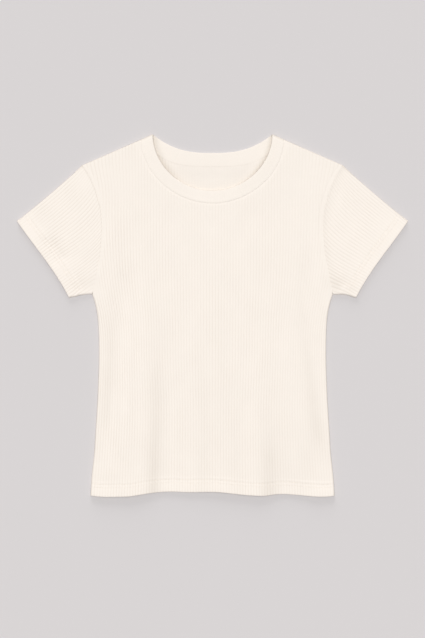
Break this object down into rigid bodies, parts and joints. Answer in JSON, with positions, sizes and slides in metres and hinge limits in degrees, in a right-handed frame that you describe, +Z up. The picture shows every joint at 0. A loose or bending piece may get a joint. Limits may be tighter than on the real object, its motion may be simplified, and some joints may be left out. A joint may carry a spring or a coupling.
{
  "type": "t-shirt",
  "caption": "Short-sleeved rib-knit T-shirt with a round doubled neckband, set-in sleeves and stitched hems, laid flat on its back with the front uppermost.",
  "frame": {"origin": "on the surface that the shirt lies on, under the middle of its outline", "axes": "+X from the middle towards the wearer's left sleeve, +Y up the body towards the neck, +Z up out of the front"},
  "size_m": [0.5848, 0.5434, 0.0087],
  "materials": {
    "rib_knit": "matt",
    "neck_rib": "matt"
  },
  "bodies": {
    "root": {"front_panel": "rib_knit", "back_panel": "rib_knit", "sleeve_left": "rib_knit", "sleeve_right": "rib_knit", "neckband": "neck_rib"}
  },
  "joints": []
}
